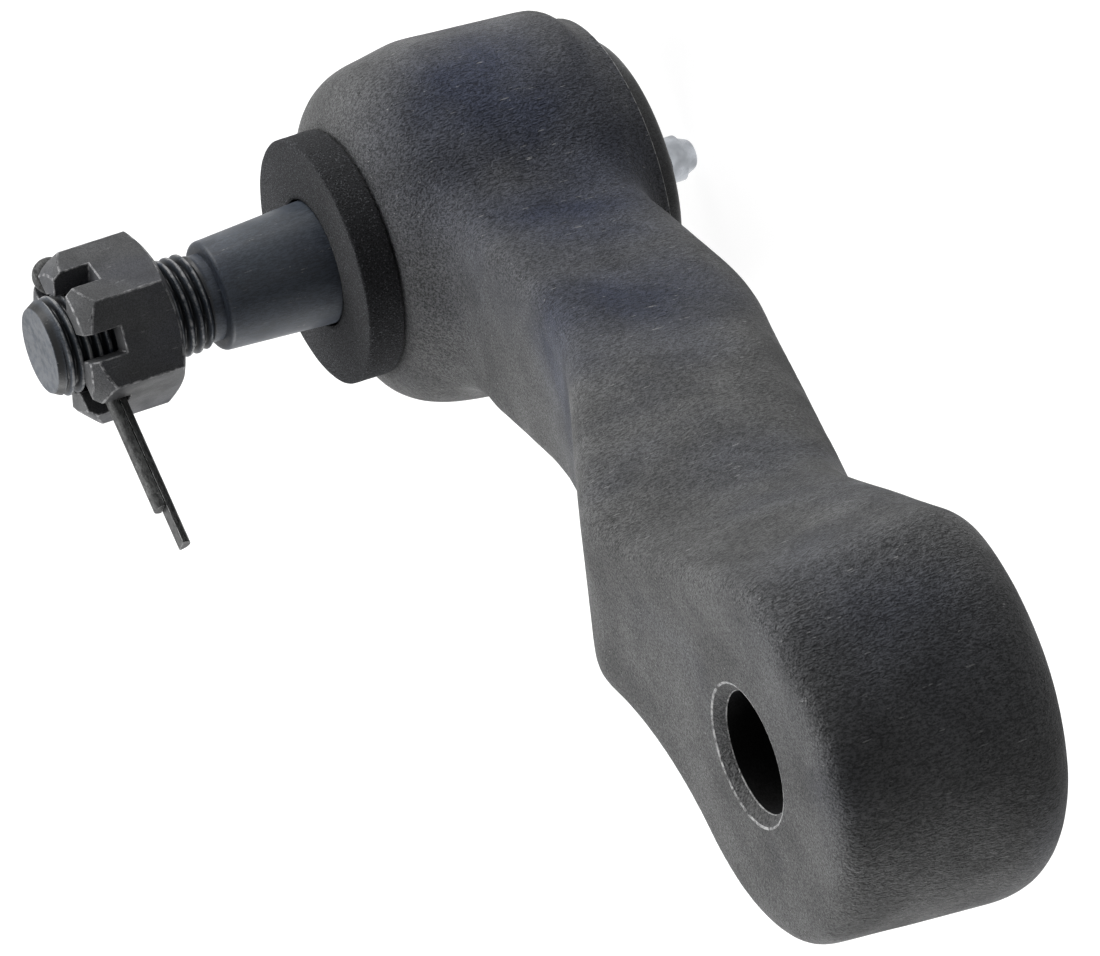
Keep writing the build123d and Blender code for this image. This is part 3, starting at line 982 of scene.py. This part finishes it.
class FORGE_OT_cotter(bpy.types.Operator):
    """Build the cotter pin from its half-round wire"""
    bl_idname = "idler_arm.cotter_pin"
    bl_label = "Cotter Pin"

    def execute(self, context):
        bm = node_mesh("cotter_pin")
        broken_edges(bm, 0.07 * MM, 40)
        pin = new_piece(
            "cotter_pin_wire", bm, pin_finish(), "stud", ["cotter_pin"],
        )
        weighted(pin)
        return {"FINISHED"}


# Dust seal

def quarter_round(radius, height, edge, first):
    """A rounded corner's points about (radius, height), from the angle first on."""
    steps = 5
    angles = [first + math.pi / 2 * i / steps for i in range(steps + 1)]
    return [(radius + edge * math.cos(a), height + edge * math.sin(a)) for a in angles]


def seal_section(outer, inner, base, face, relief):
    """The ring's section from the hole's foot outward, up, inward and down the hole."""
    edge = 0.35 * MM
    wide = inner + relief
    under, wall, top, hole = 9, 7, 13, 8
    section = [
        (wide + (outer - edge - wide) * i / under, base) for i in range(under)
    ]
    section += quarter_round(outer - edge, base + edge, edge, -math.pi / 2)
    section += [
        (outer, base + edge + (face - base - 2 * edge) * i / wall) for i in range(1, wall)
    ]
    section += quarter_round(outer - edge, face - edge, edge, 0)
    section += [
        (outer - edge - (outer - edge - inner) * i / top, face) for i in range(1, top)
    ]
    section += [
        (inner + relief * (i / hole) ** 0.85, face - (face - base) * i / hole)
        for i in range(hole)
    ]
    return section


class FORGE_OT_seal(bpy.types.Operator):
    """Build the foam dust seal between the housing and the stud"""
    bl_idname = "idler_arm.dust_seal"
    bl_label = "Dust Seal"

    def execute(self, context):
        given = settings(context).seal
        low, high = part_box("dust_seal")
        outer, inner, sides = (high.x - low.x) / 2, 9.15 * MM, 180
        base, face = low.z, high.z
        bm = bmesh.new()
        section = seal_section(outer, inner, base, face, given.relief)
        rows = [ring(bm, radius, height, sides) for radius, height in section]
        join_rows(bm, rows, sides)
        join_rows(bm, [rows[-1], rows[0]], sides)
        bmesh.ops.recalc_face_normals(bm, faces=bm.faces)
        bm.normal_update()
        bulges, pores = 190.0, 900.0
        for vert in bm.verts:
            p = vert.co
            bulge = noise.noise(p * bulges)
            cells = noise.noise(p * pores)
            vert.co = p - vert.normal * given.cell * (0.55 + 0.6 * bulge + 0.45 * cells)
        for f in bm.faces:
            f.smooth = True
        seal = new_piece("dust_seal_foam", bm, foam_finish(given), None,
                         ["dust_seal"])
        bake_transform(seal)
        return {"FINISHED"}


# Cover, fitting and inner parts

class FORGE_OT_cover(bpy.types.Operator):
    """Build the pressed cover and the plated grease fitting"""
    bl_idname = "idler_arm.cover"
    bl_label = "Cover and Grease Fitting"

    def execute(self, context):
        bm = node_mesh("cover_plate")
        broken_edges(bm, 0.15 * MM, 30)
        cover = new_piece(
            "cover_pressed", bm, cover_finish(), "arm", ["cover_plate"],
        )
        weighted(cover)
        zinc = zinc_finish(settings(context).hardware)
        for node in ("grease_fitting_body", "grease_fitting_ball"):
            bm = node_mesh(node)
            broken_edges(bm, 0.12 * MM, 26)
            piece = new_piece(node + "_plated", bm, zinc, "arm", [node])
            weighted(piece)
        return {"FINISHED"}


class FORGE_OT_inner(bpy.types.Operator):
    """Finish the parts inside the housing: seat, half-ball bearing, cap and springs"""
    bl_idname = "idler_arm.inner_parts"
    bl_label = "Inner Parts"

    def execute(self, context):
        bearing = bearing_finish()
        spring = spring_finish()
        for node, mat in (
            ("ball_seat", bearing), ("half_ball_bearing", bearing), ("pressure_cap", bearing),
            ("preload_spring", spring), ("grease_fitting_spring", spring),
        ):
            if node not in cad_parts:
                raise RuntimeError("the frame has no node " + node)
            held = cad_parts[node]
            held.data.materials.clear()
            held.data.materials.append(mat)
        return {"FINISHED"}


# Stage

def seen_directly(tree):
    """1 for rays from the camera and for those that a mirror or glass sends on."""
    path = tree.nodes.new("ShaderNodeLightPath")
    seen = math_node(tree, "MAXIMUM", path.outputs["Is Camera Ray"],
                     path.outputs["Is Glossy Ray"])
    return math_node(tree, "MAXIMUM", seen, path.outputs["Is Transmission Ray"])


def pale_floor(scene):
    """A floor that looks white but keeps the object's shadow."""
    bm = bmesh.new()
    bmesh.ops.create_grid(bm, x_segments=1, y_segments=1, size=6.0)
    bm.transform(Matrix.Translation((0.08, 0, CAD_BOX[0].z - 0.2 * MM)))
    mesh = mesh_of(bm, "floor")
    floor = bpy.data.objects.new("floor", mesh)
    scene.collection.objects.link(floor)
    mat, tree, shader = material("Pale Floor")
    shader.inputs["Base Color"].default_value = (0.25, 0.25, 0.25, 1)
    shader.inputs["Roughness"].default_value = 0.9
    shader.inputs["Specular IOR Level"].default_value = 0.1
    shader.inputs["Emission Color"].default_value = (1, 1, 1, 1)
    glow = product(tree, seen_directly(tree), 0.88)
    link(tree, glow, shader.inputs["Emission Strength"])
    mesh.materials.append(mat)


def studio_room(scene, ambient):
    """An even dim light on the object, and white where the room itself is seen."""
    world = bpy.data.worlds.new("Studio Room")
    scene.world = world
    world.use_nodes = True
    tree = world.node_tree
    back = tree.nodes["Background"]
    back.inputs["Color"].default_value = (1, 1, 1, 1)
    strength = mapped_range(tree, seen_directly(tree), 0.0, 1.0, ambient, 1.0)
    link(tree, strength, back.inputs["Strength"])


def softboxes(scene, given):
    middle = Vector((0.075, 0.0, 0.005))
    for name, place, power in (
        ("softbox_above", (0.32, 0.0, 0.75), given.key),
        ("softbox_side", (0.55, -0.75, 0.25), given.side * 1.25),
        ("softbox_far_side", (-0.05, 0.75, 0.10), given.side),
    ):
        lamp = bpy.data.lights.new(name, "AREA")
        lamp.shape = "SQUARE"
        lamp.size = 0.6
        lamp.energy = power
        holder = bpy.data.objects.new(name, lamp)
        scene.collection.objects.link(holder)
        holder.location = place
        toward = (middle - Vector(place)).normalized()
        holder.rotation_euler = toward.to_track_quat("-Z", "Y").to_euler()


def photo_camera(scene, focal):
    """The camera at the place from which the photo was taken."""
    camera = bpy.data.cameras.new("photo_camera")
    camera.sensor_width = 36.0
    camera.lens = focal
    camera.clip_start = 0.05
    camera.clip_end = 50.0
    view = bpy.data.objects.new("photo_camera", camera)
    scene.collection.objects.link(view)
    right = Vector((-0.43865, 0.10463, -0.89255)).normalized()
    down = Vector((-0.4043, 0.86403, 0.29998))
    down = (down - right * down.dot(right)).normalized()
    forward = right.cross(down).normalized()
    turn = Matrix((right, -down, -forward)).transposed().to_4x4()
    view.matrix_world = Matrix.Translation((-0.87324, -0.58339, 0.42171)) @ turn
    scene.camera = view


class FORGE_OT_stage(bpy.types.Operator):
    """Set the floor, the lights, the room and the camera"""
    bl_idname = "idler_arm.stage"
    bl_label = "Stage"

    def execute(self, context):
        given = settings(context).stage
        scene = context.scene
        scene.view_settings.view_transform = "Standard"
        pale_floor(scene)
        studio_room(scene, given.ambient)
        softboxes(scene, given)
        photo_camera(scene, given.focal)
        return {"FINISHED"}


class ForgeSettings(bpy.types.PropertyGroup):
    forging: bpy.props.PointerProperty(
        type=ForgingSettings, name="Forging", description="Sizes and colours of the forged arm",
    )
    stud: bpy.props.PointerProperty(
        type=StudSettings, name="Stud", description="Thread and colour of the ball stud",
    )
    hardware: bpy.props.PointerProperty(
        type=HardwareSettings, name="Hardware", description="Nut, pin, cover and fitting",
    )
    seal: bpy.props.PointerProperty(
        type=SealSettings, name="Seal", description="Foam of the dust seal",
    )
    stage: bpy.props.PointerProperty(
        type=StageSettings, name="Stage", description="Camera and light",
    )


OPERATORS = (
    FORGE_OT_arm, FORGE_OT_stud, FORGE_OT_nut, FORGE_OT_cotter, FORGE_OT_seal,
    FORGE_OT_cover, FORGE_OT_inner, FORGE_OT_stage,
)


class FORGE_PT_panel(bpy.types.Panel):
    """Lists the operators that build the idler arm"""
    bl_idname = "FORGE_PT_idler_arm"
    bl_label = "Idler Arm"
    bl_space_type = "VIEW_3D"
    bl_region_type = "UI"
    bl_category = "Idler Arm"

    def draw(self, context):
        column = self.layout.column()
        for operator in OPERATORS:
            column.operator(operator.bl_idname)
        shown = settings(context)
        for part in (shown.forging, shown.stud, shown.hardware, shown.seal, shown.stage):
            box = column.box()
            for name in part.__annotations__:
                box.prop(part, name)


CLASSES = (
    ForgingSettings, StudSettings, HardwareSettings, SealSettings, StageSettings, ForgeSettings,
) + OPERATORS + (FORGE_PT_panel,)


def register():
    for item in CLASSES:
        bpy.utils.register_class(item)
    bpy.types.Scene.idler_arm = bpy.props.PointerProperty(type=ForgeSettings)


def unregister():
    del bpy.types.Scene.idler_arm
    for item in reversed(CLASSES):
        bpy.utils.unregister_class(item)


def main():
    register()
    bpy.ops.idler_arm.forged_arm()
    bpy.ops.idler_arm.ball_stud()
    bpy.ops.idler_arm.castle_nut()
    bpy.ops.idler_arm.cotter_pin()
    bpy.ops.idler_arm.dust_seal()
    bpy.ops.idler_arm.cover()
    bpy.ops.idler_arm.inner_parts()
    bpy.ops.idler_arm.stage()


if __name__ == "__main__":
    main()
